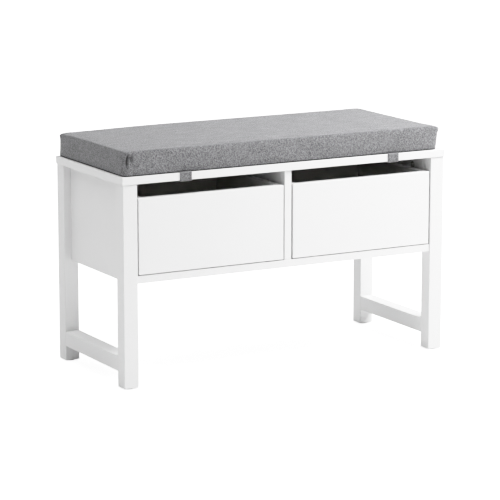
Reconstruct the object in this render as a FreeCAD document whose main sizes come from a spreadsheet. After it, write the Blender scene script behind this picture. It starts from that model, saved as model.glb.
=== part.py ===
import FreeCAD, Part
import math
import os
import re
import Sketcher

# Entryway bench with a strapped-on seat cushion and two inset drawers.
#
# Millimetres. +X runs along the bench to the right, +Y to its back, +Z up. The origin is on the
# floor, under the middle of the bench. Two side frames (two legs, a stretcher and a recessed
# side panel each) carry the bottom shelf and the seat board; a divider and a thin back panel
# close the drawer bay. Each drawer is pulled by its own front's top edge, through the finger
# gap that is left under the seat board.

SIZES = {
    # overall
    "bench_width": 720,
    "bench_depth": 300,
    "seat_board_top": 412,
    "panel_thickness": 15,
    "board_overhang": 1.5,
    "board_round": 0.6,
    # side frames
    "leg_section": 30,
    "leg_round": 1,
    "stretcher_bottom": 32,
    "glide_diameter": 22,
    "glide_height": 2,
    "glide_round": 0.5,
    "glide_stem_diameter": 5,
    "glide_stem_length": 12,
    # drawer bay
    "shelf_top": 220,
    "shelf_setback": 2,
    "back_thickness": 3,
    "back_panel_front": 127,
    "groove_play": 0.2,
    "leg_groove_depth": 3,
    "shelf_groove_depth": 6,
    "board_groove_depth": 5,
    # drawers
    "drawer_setback": 1,
    "drawer_gap": 3,
    "drawer_top": 369,
    "drawer_wall": 12,
    "drawer_wall_inset": 1,
    "drawer_depth": 265,
    "drawer_floor_thickness": 3,
    "drawer_floor_height": 10,
    "drawer_groove_depth": 5,
    "drawer_pad_height": 1.4,
    "drawer_pad_diameter": 10,
    "drawer_pad_pin_diameter": 2.5,
    "drawer_pad_pin_length": 9,
    "drawer_pad_end_distance": 20,
    "sliding_play": 0.1,
    # dowels
    "dowel_diameter": 8,
    "thin_dowel_diameter": 6,
    "dowel_length": 30,
    "dowel_in_board": 10,
    "dowel_chamfer": 1,
    "hole_play": 0.2,
    "end_play": 0.5,
    "panel_dowel_low": 240,
    "panel_dowel_step": 60,
    "stretcher_dowel_spread": 14,
    "shelf_dowel_place": 136,
    "divider_dowel_place": 100,
    "drawer_dowel_low": 252,
    "drawer_dowel_step": 85,
    # cam fittings
    "cam_diameter": 15,
    "cam_height": 12.4,
    "small_cam_diameter": 12,
    "small_cam_height": 9.4,
    "cam_distance": 24,
    "cam_chamfer": 0.5,
    "cam_cross_width": 1.2,
    "cam_cross_length": 6,
    "cam_cross_depth": 3,
    "bolt_thread_diameter": 6.2,
    "bolt_thread_length": 11,
    "bolt_shank_diameter": 4.6,
    "bolt_head_diameter": 6.4,
    "bolt_head_length": 3,
    "bolt_hole_diameter": 7,
    "seat_cam_place": 80,
    "shelf_cam_place": 90,
    "drawer_cam_place": 295,
    "cap_diameter": 17,
    "cap_height": 1,
    "cap_round": 0.4,
    # screws
    "divider_screw_place": 60,
    "divider_screw_diameter": 7,
    "divider_screw_core": 5,
    "divider_screw_collar": 12,
    "divider_screw_length": 48,
    "divider_screw_head": 10,
    "divider_screw_head_height": 2.5,
    "screw_cap_diameter": 12,
    "drawer_screw_diameter": 4,
    "drawer_screw_length": 34,
    "drawer_screw_head": 8,
    "drawer_screw_head_height": 2.4,
    "drawer_screw_low": 258,
    "drawer_screw_step": 80,
    "cross_width": 1,
    "cross_length": 4,
    "cross_depth": 1.5,
    # cushion
    "cushion_length": 710,
    "cushion_depth": 292,
    "cushion_height": 48,
    "cushion_shift_x": -2,
    "cushion_corner": 9,
    "cushion_edge": 4,
    "cloth_thickness": 1.2,
    "foam_play": 0.2,
    # straps
    "strap_width": 25,
    "strap_thickness": 1.5,
    "strap_round": 0.4,
    "left_strap_place": -226,
    "right_strap_place": 238,
    "front_strap_tail": 42,
    "rear_strap_tail": 18,
    "patch_thickness": 1.2,
    "front_patch_length": 34,
    "rear_patch_length": 14,
}

doc = FreeCAD.newDocument("EntrywayBench")
sheet = doc.addObject("Spreadsheet::Sheet", "Sizes")
for row, (alias, value) in enumerate(SIZES.items(), start=1):
    sheet.set(f"A{row}", alias)
    sheet.set(f"B{row}", str(value))
    sheet.setAlias(f"B{row}", alias)
doc.recompute()

# Places and spans that several pieces share, each worked out from the sheet's cells.
LEG_X = "(bench_width / 2 - board_overhang - leg_section / 2)"
LEG_Y = "(bench_depth / 2 - board_overhang - leg_section / 2)"
LEG_FACE_X = "(bench_width / 2 - board_overhang - leg_section)"
LEG_FACE_Y = "(bench_depth / 2 - board_overhang - leg_section)"
FRAME_FACE_Y = "(bench_depth / 2 - board_overhang)"
SIDE_PANEL_X = f"({LEG_FACE_X} + panel_thickness / 2)"
BOARD_UNDERSIDE = "(seat_board_top - panel_thickness)"
LEG_LENGTH = f"({BOARD_UNDERSIDE} - glide_height)"
SHELF_UNDERSIDE = "(shelf_top - panel_thickness)"
SHELF_FRONT_Y = f"(shelf_setback - {FRAME_FACE_Y})"
SHELF_MIDDLE_Y = "(shelf_setback / 2)"
SHELF_MIDDLE_Z = "(shelf_top - panel_thickness / 2)"
STRETCHER_Z = "(stretcher_bottom + leg_section / 2)"
GROOVE_WIDTH = "(back_thickness + groove_play)"
GROOVE_Y = "(back_panel_front + back_thickness / 2)"
DIVIDER_BACK_Y = "(back_panel_front - end_play)"
DIVIDER_MIDDLE_Y = f"(({SHELF_FRONT_Y} + {DIVIDER_BACK_Y}) / 2)"

BAY_WIDTH = f"({LEG_FACE_X} - panel_thickness / 2)"
BAY_X = f"(({LEG_FACE_X} + panel_thickness / 2) / 2)"
DRAWER_WIDTH = f"({BAY_WIDTH} - 2 * drawer_gap)"
DRAWER_FRONT_Y = f"(drawer_setback - {FRAME_FACE_Y})"
DRAWER_BACK_Y = f"({DRAWER_FRONT_Y} + drawer_depth)"
DRAWER_BOTTOM = "(shelf_top + sliding_play + drawer_pad_height)"
DRAWER_HEIGHT = f"(drawer_top - {DRAWER_BOTTOM})"
DRAWER_JOINT_Y = f"({DRAWER_FRONT_Y} + panel_thickness)"
DRAWER_SIDE_LENGTH = f"({DRAWER_BACK_Y} - {DRAWER_JOINT_Y})"
DRAWER_SIDE_Y = f"(({DRAWER_BACK_Y} + {DRAWER_JOINT_Y}) / 2)"
DRAWER_SIDE_X = f"({DRAWER_WIDTH} / 2 - drawer_wall_inset - drawer_wall / 2)"
DRAWER_OUTER_X = f"({DRAWER_SIDE_X} + drawer_wall / 2)"
DRAWER_INNER_X = f"({DRAWER_SIDE_X} - drawer_wall / 2)"
DRAWER_BACK_MIDDLE_Y = f"({DRAWER_BACK_Y} - drawer_wall / 2)"
DRAWER_FLOOR_Z = f"({DRAWER_BOTTOM} + drawer_floor_height)"
DRAWER_GROOVE_Z = "(drawer_floor_height + drawer_floor_thickness / 2)"

# How each way that a face may look is cut: the origin plane that lies along it, and whether a
# pocket has to be turned over to go into the material.
FACES = {
    "+X": ("YZ_Plane", False),
    "-X": ("YZ_Plane", True),
    "+Y": ("XZ_Plane", True),
    "-Y": ("XZ_Plane", False),
    "+Z": ("XY_Plane", False),
    "-Z": ("XY_Plane", True),
}
# The middle of each face of a block whose origin is the middle of its underside.
FACE_PLACES = {
    "+X": ("{0} / 2", "0", "0"),
    "-X": ("-{0} / 2", "0", "0"),
    "+Y": ("0", "{1} / 2", "0"),
    "-Y": ("0", "-{1} / 2", "0"),
    "+Z": ("0", "0", "{2}"),
    "-Z": ("0", "0", "0"),
}
NO_OFFSET = ("0", "0", "0")
BOTH_WAYS = ("YZ_Plane", "XZ_Plane")
block_sizes = {}


def formula(text):
    """The text as an expression: each word that is a cell's alias is read from the sheet."""
    return re.sub(r"[a-z_]+", lambda word: f"Sizes.{word[0]}" if word[0] in SIZES else word[0], text)


def bind(thing, **formulas):
    """Bind properties of thing; a double underscore in a name stands for a dot."""
    for name, text in formulas.items():
        thing.setExpression(name.replace("__", "."), formula(text))


def new_body(label, place=NO_OFFSET):
    """An empty body at a place."""
    body = doc.addObject("PartDesign::Body", label)
    body.Label = label
    body.AllowCompound = True
    bind(body, Placement__Base__x=place[0], Placement__Base__y=place[1], Placement__Base__z=place[2])
    return body


def origin_part(body, role):
    """A plane or an axis of the body's own origin."""
    return next(item for item in body.Origin.OriginFeatures if item.Role == role)


def new_sketch(body, role, place=NO_OFFSET):
    """An empty sketch on an origin plane, with its own origin moved to a place in the body."""
    across, along, up = place
    offset = {
        "XY_Plane": (across, along, up),
        "XZ_Plane": (across, up, f"-({along})"),
        "YZ_Plane": (along, up, across),
    }[role]
    sketch = body.newObject("Sketcher::SketchObject", f"{body.Name}_sketch")
    sketch.AttachmentSupport = [(origin_part(body, role), "")]
    sketch.MapMode = "FlatFace"
    for axis, text in zip("xyz", offset):
        sketch.setExpression(f"AttachmentOffset.Base.{axis}", formula(text))
    return sketch


def dimension(sketch, name, text, *constraint):
    """A named dimension that is bound to a formula."""
    index = sketch.addConstraint(Sketcher.Constraint(*constraint, 10.0))
    sketch.renameConstraint(index, name)
    sketch.setExpression(f"Constraints.{name}", formula(text))


def pin_point(sketch, name, geometry, point, spot):
    """Fix a point of the sketch at a spot, measured from the sketch's origin."""
    dimension(sketch, f"{name}_across", spot[0], "DistanceX", -1, 1, geometry, point)
    dimension(sketch, f"{name}_up", spot[1], "DistanceY", -1, 1, geometry, point)


def add_outline(sketch, points):
    """A closed outline through points, drawn first as a regular polygon."""
    count = len(points)
    turns = [2 * math.pi * index / count for index in range(count)]
    ring = [FreeCAD.Vector(30 * math.cos(turn), 30 * math.sin(turn), 0) for turn in turns]
    for index in range(count):
        sketch.addGeometry(Part.LineSegment(ring[index], ring[(index + 1) % count]))
    for index in range(count):
        following = (index + 1) % count
        sketch.addConstraint(Sketcher.Constraint("Coincident", index, 2, following, 1))
    for index, spot in enumerate(points):
        pin_point(sketch, f"point_{index}", index, 1, spot)


def add_rectangle(sketch, width, height, centre=("0", "0")):
    """A rectangle about a centre."""
    first = sketch.GeometryCount
    corners = [FreeCAD.Vector(x, y, 0) for x, y in ((-9, -7), (9, -7), (9, 7), (-9, 7))]
    for index in range(4):
        sketch.addGeometry(Part.LineSegment(corners[index], corners[(index + 1) % 4]))
        kind = ("Horizontal", "Vertical")[index % 2]
        sketch.addConstraint(Sketcher.Constraint(kind, first + index))
    for index in range(4):
        following = first + (index + 1) % 4
        sketch.addConstraint(Sketcher.Constraint("Coincident", first + index, 2, following, 1))
    dimension(sketch, f"width_{first}", width, "DistanceX", first, 1, first, 2)
    dimension(sketch, f"height_{first}", height, "DistanceY", first + 1, 1, first + 1, 2)
    corner = (f"{centre[0]} - {width} / 2", f"{centre[1]} - {height} / 2")
    pin_point(sketch, f"corner_{first}", first, 1, corner)


def add_circle(sketch, diameter, centre=("0", "0")):
    """A circle about a centre."""
    index = sketch.GeometryCount
    start = FreeCAD.Vector(20 * index, 5, 0)
    sketch.addGeometry(Part.Circle(start, FreeCAD.Vector(0, 0, 1), 4))
    pin_point(sketch, f"centre_{index}", index, 3, centre)
    dimension(sketch, f"diameter_{index}", diameter, "Diameter", index)


def add_cross(sketch, length, width):
    """The cross of a driver's recess, about the sketch's origin."""
    far, near = f"{length} / 2", f"{width} / 2"
    arm = [(far, near), (near, near), (near, far)]
    quarter_turns = (("", "", False), ("-", "", True), ("-", "-", False), ("", "-", True))
    points = []
    for sign_x, sign_y, backwards in quarter_turns:
        corner = [(sign_x + x, sign_y + y) for x, y in arm]
        points += reversed(corner) if backwards else corner
    add_outline(sketch, points)


def recess(body, face, place, depth, draw):
    """Cut what draw puts on a sketch at a place into the material behind a face."""
    role, turned_over = FACES[face]
    sketch = new_sketch(body, role, place)
    draw(sketch)
    pocket = body.newObject("PartDesign::Pocket", f"{body.Name}_pocket")
    pocket.Profile = sketch
    pocket.Reversed = turned_over
    bind(pocket, Length=depth)
    return pocket


def block(label, size, place, rounding="board_round"):
    """A board or a bar with eased edges; its place is the middle of its underside."""
    body = new_body(label, place)
    sketch = new_sketch(body, "XY_Plane")
    add_rectangle(sketch, size[0], size[1])
    pad = body.newObject("PartDesign::Pad", f"{label}_pad")
    pad.Profile = sketch
    bind(pad, Length=size[2])
    eased = body.newObject("PartDesign::Fillet", f"{label}_eased")
    eased.Base = (pad, [f"Edge{number}" for number in range(1, 13)])
    bind(eased, Radius=rounding)
    block_sizes[body.Name] = size
    return body


def face_place(body, face):
    """The middle of a block's face."""
    return tuple(text.format(*block_sizes[body.Name]) for text in FACE_PLACES[face])


def drill(body, face, spots, diameter, depth):
    """Blind round holes in a block's face; a spot's values follow the row axes along the face."""
    def draw(sketch):
        for spot in spots:
            add_circle(sketch, diameter, spot)
    recess(body, face, face_place(body, face), depth, draw)


def groove(body, face, width, height, centre, depth):
    """A straight groove in a block's face."""
    recess(body, face, face_place(body, face), depth,
           lambda sketch: add_rectangle(sketch, width, height, centre))


def turned(body, facing, place, profile, kind="PartDesign::Revolution"):
    """A turned shape, or with Groove a turned hole: (radius, distance) pairs from a place."""
    sign, axis = facing
    role = "XZ_Plane" if axis == "Z" else "XY_Plane"
    sketch = new_sketch(body, role, place)
    spots = [(radius, f"{sign}({distance})") for radius, distance in profile]
    if axis == "X":
        spots = [(distance, radius) for radius, distance in spots]
    add_outline(sketch, spots)
    feature = body.newObject(kind, f"{body.Name}_turned")
    feature.Profile = sketch
    feature.ReferenceAxis = (sketch, ["H_Axis" if axis == "X" else "V_Axis"])
    feature.Angle = 360
    return feature


def repeat(body, features, mirrors, rows=None):
    """Repeat features along an axis, as (axis, step, count), and mirror them about planes."""
    steps = []
    if rows:
        axis, step, count = rows
        row_step = doc.addObject("PartDesign::LinearPattern", f"{body.Name}_row")
        row_step.Direction = (origin_part(body, f"{axis}_Axis"), [""])
        row_step.Occurrences = count
        bind(row_step, Length=f"{step} * {count - 1}")
        steps.append(row_step)
    for role in mirrors:
        mirror = doc.addObject("PartDesign::Mirrored", f"{body.Name}_mirror")
        mirror.MirrorPlane = (origin_part(body, role), [""])
        steps.append(mirror)
    pattern = body.newObject("PartDesign::MultiTransform", f"{body.Name}_all")
    pattern.Originals = features
    pattern.Transformations = steps
    body.Tip = pattern


def both_signs(text):
    """A length to both sides of a middle."""
    return (f"-{text}", text)


def edge_names(feature, chosen):
    """The names of a feature's edges that chosen is true for."""
    doc.recompute()
    edges = enumerate(feature.Shape.Edges, start=1)
    return [f"Edge{number}" for number, edge in edges if chosen(edge)]


def fillet(body, feature, chosen, radius):
    """Round the chosen edges of a feature."""
    rounded = body.newObject("PartDesign::Fillet", f"{body.Name}_rounded")
    rounded.Base = (feature, edge_names(feature, chosen))
    bind(rounded, Radius=radius)
    return rounded


# ---- fasteners -------------------------------------------------------------------------------

DOWEL_HOLE = "(dowel_diameter + hole_play)"
THIN_DOWEL_HOLE = "(thin_dowel_diameter + hole_play)"
HALF_DOWEL_DEPTH = "(dowel_length / 2 + end_play)"
BOARD_DOWEL_DEPTH = "(dowel_in_board + end_play)"
EDGE_DOWEL_DEPTH = "(dowel_length - dowel_in_board + end_play)"
THREAD_HOLE = "(bolt_thread_diameter + hole_play)"
THREAD_DEPTH = "(bolt_thread_length + end_play)"
CAM_HOLE = "(cam_diameter + hole_play)"
CAM_DEPTH = "(cam_height + hole_play)"
SMALL_CAM_HOLE = "(small_cam_diameter + hole_play)"
SMALL_CAM_DEPTH = "(small_cam_height + hole_play)"


def dowels(label, facing, place, diameter="dowel_diameter", mirrors=BOTH_WAYS, rows=None, shift=NO_OFFSET):
    """Beech dowels with chamfered ends; the place is one end of the first."""
    radius = f"{diameter} / 2"
    narrow = f"{radius} - dowel_chamfer"
    profile = [
        ("0", "0"), (narrow, "0"), (radius, "dowel_chamfer"),
        (radius, "dowel_length - dowel_chamfer"), (narrow, "dowel_length"), ("0", "dowel_length"),
    ]
    body = new_body(label, shift)
    repeat(body, [turned(body, facing, place, profile)], mirrors, rows)


def cam_bolts(label, facing, place, mirrors=BOTH_WAYS, shift=NO_OFFSET):
    """Cam bolts: the thread is in one board and the shank, from the joint's place on, in the other."""
    thread, shank, head = (f"bolt_{part}_diameter / 2" for part in ("thread", "shank", "head"))
    neck = "cam_distance - bolt_head_length / 2"
    end = "cam_distance + bolt_head_length / 2"
    profile = [
        ("0", "-bolt_thread_length"), (shank, "-bolt_thread_length"),
        (thread, "cam_chamfer - bolt_thread_length"), (thread, "0"), (shank, "0"),
        (shank, neck), (head, neck), (head, end), ("0", end),
    ]
    body = new_body(label, shift)
    repeat(body, [turned(body, facing, place, profile)], mirrors)


def cam_nuts(label, face, place, bolt_face, bolt_place, prefix="", mirrors=BOTH_WAYS, shift=NO_OFFSET):
    """Cam discs: a driver's cross in the face, and a hole in the rim for the bolt's head."""
    sign, axis = face
    into = ("-" if sign == "+" else "+") + axis
    radius, height = f"{prefix}cam_diameter / 2", f"{prefix}cam_height"
    narrow = f"{radius} - cam_chamfer"
    profile = [
        ("0", "0"), (narrow, "0"), (radius, "cam_chamfer"),
        (radius, f"{height} - cam_chamfer"), (narrow, height), ("0", height),
    ]
    body = new_body(label, shift)
    disc = turned(body, into, place, profile)
    cross = recess(body, face, place, "cam_cross_depth",
                   lambda sketch: add_cross(sketch, "cam_cross_length", "cam_cross_width"))
    bore_depth = f"{radius} + bolt_head_length / 2 + end_play"
    bore = recess(body, bolt_face, bolt_place, bore_depth,
                  lambda sketch: add_circle(sketch, "bolt_hole_diameter"))
    repeat(body, [disc, cross, bore], mirrors)


def caps(label, place, diameter, mirrors):
    """Stick-on cover caps under the shelf."""
    radius = f"{diameter} / 2"
    profile = [
        ("0", "0"), (radius, "0"), (radius, "cap_height - cap_round"),
        (f"{radius} - cap_round", "cap_height"), ("0", "cap_height"),
    ]
    body = new_body(label)
    repeat(body, [turned(body, "-Z", place, profile)], mirrors)


# ---- side frames -----------------------------------------------------------------------------

PANEL_DOWEL_HEIGHTS = [f"(panel_dowel_low + {step} * panel_dowel_step)" for step in range(3)]
SIDES = (("left", "-", "+X"), ("right", "", "-X"))
ENDS = (("front", "-", "+Y"), ("rear", "", "-Y"))


def leg(side, sign_x, inward_x, end, sign_y, inward_y):
    """A square leg, drilled for its glide, the seat board, the shelf, the panel and the stretcher."""
    place = (f"{sign_x}{LEG_X}", f"{sign_y}{LEG_Y}", "glide_height")
    body = block(f"{end}_{side}_leg", ("leg_section", "leg_section", LEG_LENGTH), place, "leg_round")
    centre = [("0", "0")]
    drill(body, "-Z", centre, "glide_stem_diameter + hole_play", "glide_stem_length + end_play")
    drill(body, "+Z", centre, DOWEL_HOLE, EDGE_DOWEL_DEPTH)
    panel_offset = f"{sign_x}({SIDE_PANEL_X} - {LEG_X})"
    spots = [(panel_offset, f"{height} - glide_height") for height in PANEL_DOWEL_HEIGHTS]
    for across in both_signs("stretcher_dowel_spread / 2"):
        spots.append((across, f"{STRETCHER_Z} - glide_height"))
    drill(body, inward_y, spots, DOWEL_HOLE, HALF_DOWEL_DEPTH)
    shelf_spot = (f"{sign_y}(shelf_dowel_place - {LEG_Y})", f"{SHELF_MIDDLE_Z} - glide_height")
    drill(body, inward_x, [shelf_spot], DOWEL_HOLE, HALF_DOWEL_DEPTH)
    if end == "rear":
        low = "(shelf_top - shelf_groove_depth)"
        middle = (f"{GROOVE_Y} - {LEG_Y}", f"({BOARD_UNDERSIDE} + {low}) / 2 - glide_height")
        height = f"({BOARD_UNDERSIDE} - {low})"
        groove(body, inward_x, GROOVE_WIDTH, height, middle, "leg_groove_depth")


def glide(side, sign_x, end, sign_y):
    """A plastic glide under a leg, with its stem up the leg's hole."""
    radius, stem = "glide_diameter / 2", "glide_stem_diameter / 2"
    stem_end = "glide_height + glide_stem_length"
    profile = [
        ("0", "0"), (f"{radius} - glide_round", "0"), (radius, "glide_round"), (radius, "glide_height"),
        (stem, "glide_height"), (stem, f"{stem_end} - dowel_chamfer"),
        (f"{stem} - dowel_chamfer", stem_end), ("0", stem_end),
    ]
    body = new_body(f"{end}_{side}_glide", (f"{sign_x}{LEG_X}", f"{sign_y}{LEG_Y}", "0"))
    turned(body, "+Z", NO_OFFSET, profile)


def stretcher(side, sign_x):
    """The low bar between a side frame's legs."""
    place = (f"{sign_x}{LEG_X}", "0", "stretcher_bottom")
    size = ("leg_section", f"(2 * {LEG_FACE_Y})", "leg_section")
    body = block(f"{side}_stretcher", size, place, "leg_round")
    spots = [(across, "leg_section / 2") for across in both_signs("stretcher_dowel_spread / 2")]
    for face in ("-Y", "+Y"):
        drill(body, face, spots, DOWEL_HOLE, HALF_DOWEL_DEPTH)


def side_panel(side, sign_x, inward_x):
    """A side panel between two legs, flush with their inner faces."""
    height = f"({BOARD_UNDERSIDE} - {SHELF_UNDERSIDE})"
    place = (f"{sign_x}{SIDE_PANEL_X}", "0", SHELF_UNDERSIDE)
    body = block(f"{side}_side_panel", ("panel_thickness", f"(2 * {LEG_FACE_Y})", height), place)
    dowel_spots = [("0", f"{level} - {SHELF_UNDERSIDE}") for level in PANEL_DOWEL_HEIGHTS]
    for face in ("-Y", "+Y"):
        drill(body, face, dowel_spots, DOWEL_HOLE, HALF_DOWEL_DEPTH)
    bolt_spots = [("0", along) for along in both_signs("seat_cam_place")]
    drill(body, "+Z", bolt_spots, "bolt_hole_diameter", "cam_distance")
    cam_spots = [(along, f"{height} - cam_distance") for along in both_signs("seat_cam_place")]
    drill(body, inward_x, cam_spots, CAM_HOLE, CAM_DEPTH)
    level = f"{SHELF_MIDDLE_Z} - {SHELF_UNDERSIDE}"
    shelf_spots = [(along, level) for along in both_signs("shelf_cam_place")]
    drill(body, inward_x, shelf_spots, THREAD_HOLE, THREAD_DEPTH)


for side, sign_x, inward_x in SIDES:
    for end, sign_y, inward_y in ENDS:
        leg(side, sign_x, inward_x, end, sign_y, inward_y)
        glide(side, sign_x, end, sign_y)
    stretcher(side, sign_x)
    side_panel(side, sign_x, inward_x)

panel_dowel_start = (SIDE_PANEL_X, f"{LEG_FACE_Y} - dowel_length / 2", "panel_dowel_low")
dowels("side_panel_dowels", "+Y", panel_dowel_start, rows=("Z", "panel_dowel_step", 3))
stretcher_dowel_start = (f"{LEG_X} - stretcher_dowel_spread / 2",
                         f"{LEG_FACE_Y} - dowel_length / 2", STRETCHER_Z)
dowels("stretcher_dowels", "+Y", stretcher_dowel_start, rows=("X", "stretcher_dowel_spread", 2))


# ---- shelf, divider, back panel and seat board -----------------------------------------------

def along_from(middle, text):
    """Two lengths either side of the bench's middle, measured from a piece's own middle."""
    return [f"({length} - {middle})" for length in both_signs(text)]


def bottom_shelf():
    """The shelf that the drawers slide on; its ends butt against the side frames."""
    size = (f"(2 * {LEG_FACE_X})", f"(2 * {FRAME_FACE_Y} - shelf_setback)", "panel_thickness")
    body = block("bottom_shelf", size, ("0", SHELF_MIDDLE_Y, SHELF_UNDERSIDE))
    half_thick = "panel_thickness / 2"
    dowel_spots = [(along, half_thick) for along in along_from(SHELF_MIDDLE_Y, "shelf_dowel_place")]
    bolt_spots = [(along, half_thick) for along in along_from(SHELF_MIDDLE_Y, "shelf_cam_place")]
    for face in ("-X", "+X"):
        drill(body, face, dowel_spots, DOWEL_HOLE, HALF_DOWEL_DEPTH)
        drill(body, face, bolt_spots, "bolt_hole_diameter", "cam_distance")
    cam_spots = [
        (across, along)
        for across in both_signs(f"({LEG_FACE_X} - cam_distance)")
        for along in along_from(SHELF_MIDDLE_Y, "shelf_cam_place")
    ]
    drill(body, "-Z", cam_spots, CAM_HOLE, CAM_DEPTH)
    screw_spots = [("0", along) for along in along_from(SHELF_MIDDLE_Y, "divider_screw_place")]
    drill(body, "-Z", screw_spots, "divider_screw_diameter + hole_play", "panel_thickness")
    head_depth = "divider_screw_head_height + hole_play"
    drill(body, "-Z", screw_spots, "divider_screw_head + hole_play", head_depth)
    divider_spots = [("0", along) for along in along_from(SHELF_MIDDLE_Y, "divider_dowel_place")]
    drill(body, "+Z", divider_spots, DOWEL_HOLE, BOARD_DOWEL_DEPTH)
    groove_centre = ("0", f"{GROOVE_Y} - {SHELF_MIDDLE_Y}")
    groove(body, "+Z", size[0], GROOVE_WIDTH, groove_centre, "shelf_groove_depth")


def centre_divider():
    """The upright between the two drawers."""
    height = f"({BOARD_UNDERSIDE} - shelf_top)"
    size = ("panel_thickness", f"({DIVIDER_BACK_Y} - {SHELF_FRONT_Y})", height)
    body = block("centre_divider", size, ("0", DIVIDER_MIDDLE_Y, "shelf_top"))
    dowel_spots = [("0", along) for along in along_from(DIVIDER_MIDDLE_Y, "divider_dowel_place")]
    for face in ("-Z", "+Z"):
        drill(body, face, dowel_spots, DOWEL_HOLE, EDGE_DOWEL_DEPTH)
    screw_spots = [("0", along) for along in along_from(DIVIDER_MIDDLE_Y, "divider_screw_place")]
    core_depth = "divider_screw_length - panel_thickness + end_play"
    drill(body, "-Z", screw_spots, "divider_screw_diameter + hole_play", core_depth)


def back_panel():
    """The thin panel in the grooves of the rear legs, the shelf and the seat board."""
    width = f"(2 * {LEG_FACE_X} + 2 * leg_groove_depth - end_play)"
    low = "(shelf_top - shelf_groove_depth + end_play)"
    height = f"({BOARD_UNDERSIDE} + board_groove_depth - end_play - {low})"
    block("back_panel", (width, "back_thickness", height), ("0", GROOVE_Y, low))


def seat_board():
    """The top board, drilled from below so that its upper face stays whole."""
    size = ("bench_width", "bench_depth", "panel_thickness")
    body = block("seat_board", size, ("0", "0", BOARD_UNDERSIDE))
    dowel_spots = [(across, along) for across in both_signs(LEG_X) for along in both_signs(LEG_Y)]
    dowel_spots += [("0", along) for along in both_signs("divider_dowel_place")]
    drill(body, "-Z", dowel_spots, DOWEL_HOLE, BOARD_DOWEL_DEPTH)
    bolt_spots = [
        (across, along) for across in both_signs(SIDE_PANEL_X) for along in both_signs("seat_cam_place")
    ]
    drill(body, "-Z", bolt_spots, THREAD_HOLE, THREAD_DEPTH)
    groove_length = f"(2 * {LEG_FACE_X} + 2 * leg_groove_depth)"
    groove(body, "-Z", groove_length, GROOVE_WIDTH, ("0", GROOVE_Y), "board_groove_depth")


bottom_shelf()
centre_divider()
back_panel()
seat_board()

dowels("shelf_dowels", "+X", (f"{LEG_FACE_X} - dowel_length / 2", "shelf_dowel_place", SHELF_MIDDLE_Z))
dowels("leg_top_dowels", "-Z", (LEG_X, LEG_Y, f"{BOARD_UNDERSIDE} + dowel_in_board"))
divider_row = f"({BOARD_UNDERSIDE} - shelf_top - dowel_length + 2 * dowel_in_board)"
dowels("divider_dowels", "+Z", ("0", "divider_dowel_place", "shelf_top - dowel_in_board"),
       mirrors=("XZ_Plane",), rows=("Z", divider_row, 2))

seat_cam_z = f"{BOARD_UNDERSIDE} - cam_distance"
cam_bolts("seat_cam_bolts", "-Z", (SIDE_PANEL_X, "seat_cam_place", BOARD_UNDERSIDE))
cam_nuts("seat_cam_nuts", "-X", (LEG_FACE_X, "seat_cam_place", seat_cam_z),
         "+Z", (SIDE_PANEL_X, "seat_cam_place", f"{seat_cam_z} + cam_diameter / 2"))

shelf_cam_x = f"{LEG_FACE_X} - cam_distance"
cam_bolts("shelf_cam_bolts", "-X", (LEG_FACE_X, "shelf_cam_place", SHELF_MIDDLE_Z))
cam_nuts("shelf_cam_nuts", "-Z", (shelf_cam_x, "shelf_cam_place", SHELF_UNDERSIDE),
         "+X", (f"{shelf_cam_x} + cam_diameter / 2", "shelf_cam_place", SHELF_MIDDLE_Z))
caps("shelf_cam_caps", (shelf_cam_x, "shelf_cam_place", SHELF_UNDERSIDE), "cap_diameter", BOTH_WAYS)


def divider_screws():
    """The long screws that come up through the shelf into the divider."""
    head, collar, core = (f"divider_screw_{part} / 2" for part in ("head", "diameter", "core"))
    profile = [
        ("0", "0"), (head, "0"), (head, "divider_screw_head_height"),
        (collar, "divider_screw_head_height"), (collar, "divider_screw_collar"),
        (core, "divider_screw_collar"), (core, "divider_screw_length - divider_screw_core"),
        ("0", "divider_screw_length"),
    ]
    place = ("0", "divider_screw_place", f"{SHELF_UNDERSIDE} + hole_play")
    body = new_body("divider_screws")
    shaft = turned(body, "+Z", place, profile)
    cross = recess(body, "-Z", place, "cross_depth",
                   lambda sketch: add_cross(sketch, "cross_length", "cross_width"))
    repeat(body, [shaft, cross], ("XZ_Plane",))


divider_screws()
caps("divider_screw_caps", ("0", "divider_screw_place", SHELF_UNDERSIDE), "screw_cap_diameter",
     ("XZ_Plane",))


# ---- drawers ---------------------------------------------------------------------------------

DRAWER_SCREW_HEIGHTS = ("drawer_screw_low", "(drawer_screw_low + drawer_screw_step)")
DRAWER_DOWEL_HEIGHTS = ("drawer_dowel_low", "(drawer_dowel_low + drawer_dowel_step)")
DRAWER_GROOVE_WIDTH = "(drawer_floor_thickness + groove_play)"


def drawer_front(name, middle):
    """The drawer's face, which is also its pull: a hand goes over its top edge."""
    place = (middle, f"{DRAWER_FRONT_Y} + panel_thickness / 2", DRAWER_BOTTOM)
    body = block(f"{name}_front", (DRAWER_WIDTH, "panel_thickness", DRAWER_HEIGHT), place, "leg_round")
    dowel_spots = [
        (across, f"{level} - {DRAWER_BOTTOM}")
        for across in both_signs(DRAWER_SIDE_X) for level in DRAWER_DOWEL_HEIGHTS
    ]
    drill(body, "+Y", dowel_spots, THIN_DOWEL_HOLE, BOARD_DOWEL_DEPTH)
    cam_level = f"drawer_cam_place - {DRAWER_BOTTOM}"
    bolt_spots = [(across, cam_level) for across in both_signs(DRAWER_SIDE_X)]
    drill(body, "+Y", bolt_spots, THREAD_HOLE, THREAD_DEPTH)
    groove_length = f"(2 * {DRAWER_INNER_X} + 2 * drawer_groove_depth)"
    groove(body, "+Y", groove_length, DRAWER_GROOVE_WIDTH, ("0", DRAWER_GROOVE_Z), "drawer_groove_depth")


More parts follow.
